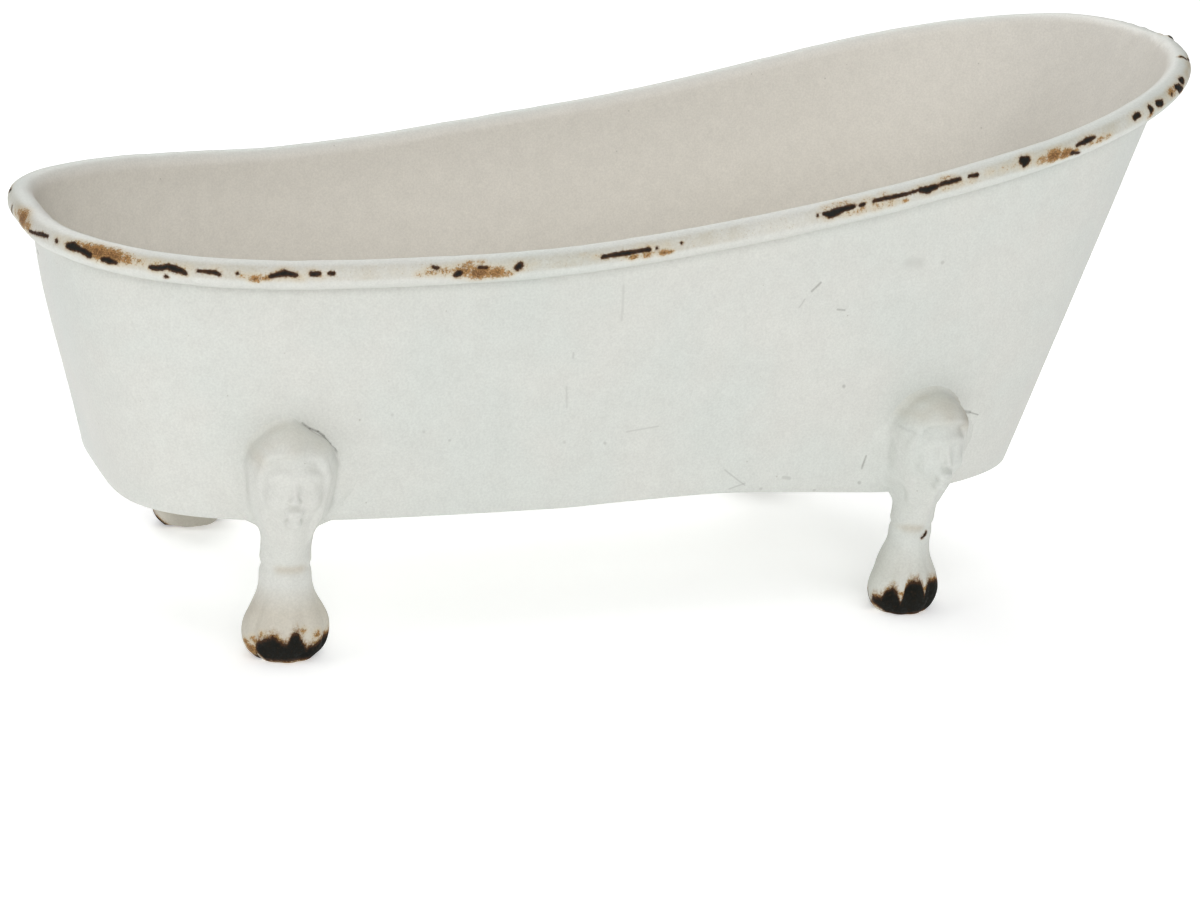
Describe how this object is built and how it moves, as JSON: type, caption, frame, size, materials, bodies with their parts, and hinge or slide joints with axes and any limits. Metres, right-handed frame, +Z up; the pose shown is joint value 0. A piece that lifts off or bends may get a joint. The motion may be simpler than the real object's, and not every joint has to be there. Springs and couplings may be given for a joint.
{
  "type": "decorative bathtub",
  "caption": "Small decorative slipper bathtub in painted sheet metal with a rolled rim, carried on cast claw feet with masked knees.",
  "frame": {"origin": "on the ground, at the middle of the object's box in plan", "axes": "+X along the tub from the low foot end to the high head end, +Z up, -Y the front side"},
  "size_m": [0.2392, 0.1054, 0.1105],
  "materials": {
    "painted_sheet": "off-white paint on thin steel sheet, satin, chipped to dark rusty steel along the rim",
    "painted_casting": "off-white paint on castings, soft-edged, worn to dark rusty metal under the paws",
    "rim_wire_steel": "plain drawn steel wire, dull",
    "fastener_steel": "zinc-plated steel, dulled and lightly spotted"
  },
  "bodies": {
    "root": {"wall_and_rolled_rim": "painted_sheet", "rim_wire": "rim_wire_steel", "floor_pan": "painted_sheet", "claw_foot_front_low": "painted_casting", "claw_foot_front_high": "painted_casting", "claw_foot_back_low": "painted_casting", "claw_foot_back_high": "painted_casting", "foot_screws": "fastener_steel", "foot_washers": "fastener_steel"}
  },
  "joints": []
}
